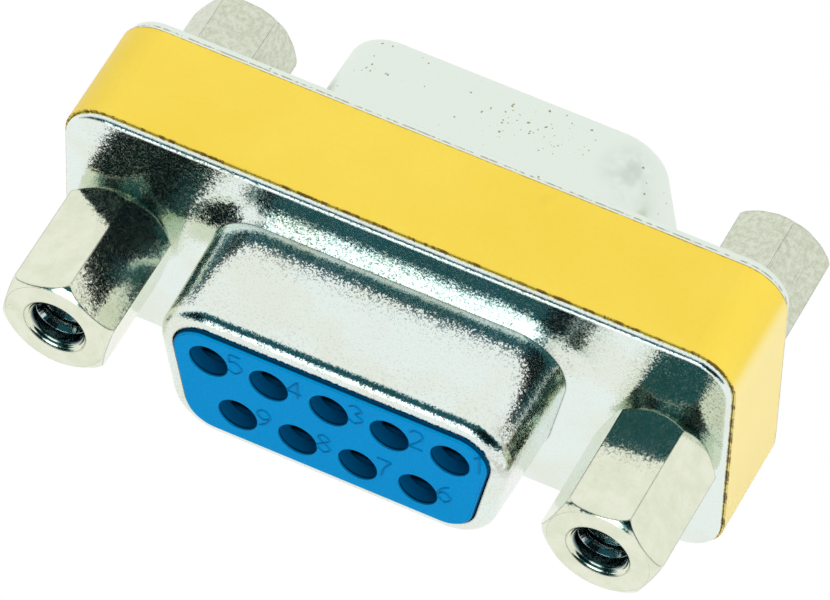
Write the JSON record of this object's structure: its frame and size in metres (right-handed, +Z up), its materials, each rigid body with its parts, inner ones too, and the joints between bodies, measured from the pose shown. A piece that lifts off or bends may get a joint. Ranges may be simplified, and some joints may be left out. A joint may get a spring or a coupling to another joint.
{
  "type": "d-sub gender changer",
  "caption": "Slim adapter with a D-shaped socket connector on each face, pressed metal shells, hexagonal jack screws and a label strip round its edge.",
  "frame": {"origin": "centre of the bounding box's underside, on the lower face of the label strip", "axes": "+X along the flanges, -Y out of the front connector's mating face, +Z up"},
  "size_m": [0.0308, 0.0178, 0.0127],
  "materials": {
    "front_shell": "bright tin plate over drawn steel, with a fine grain at the bends",
    "rear_shell": "tin plate over drawn steel, duller, with small brown pits",
    "front_insulator": "blue moulded plastic, satin",
    "rear_insulator": "blue moulded plastic, satin",
    "contacts": "stamped bronze strip",
    "jack_screws": "nickel plate, bright, with turned ends",
    "jack_nuts": "nickel plate, scuffed and dull",
    "label_band": "yellow self-adhesive strip, satin"
  },
  "bodies": {
    "root": {"front_shell": "front_shell", "rear_shell": "rear_shell", "front_insulator": "front_insulator", "rear_insulator": "rear_insulator", "contact_1": "contacts", "contact_2": "contacts", "contact_3": "contacts", "contact_4": "contacts", "contact_5": "contacts", "contact_6": "contacts", "contact_7": "contacts", "contact_8": "contacts", "contact_9": "contacts", "left_jack_screw": "jack_screws", "right_jack_screw": "jack_screws", "left_jack_nut": "jack_nuts", "right_jack_nut": "jack_nuts", "label_band": "label_band"}
  },
  "joints": []
}
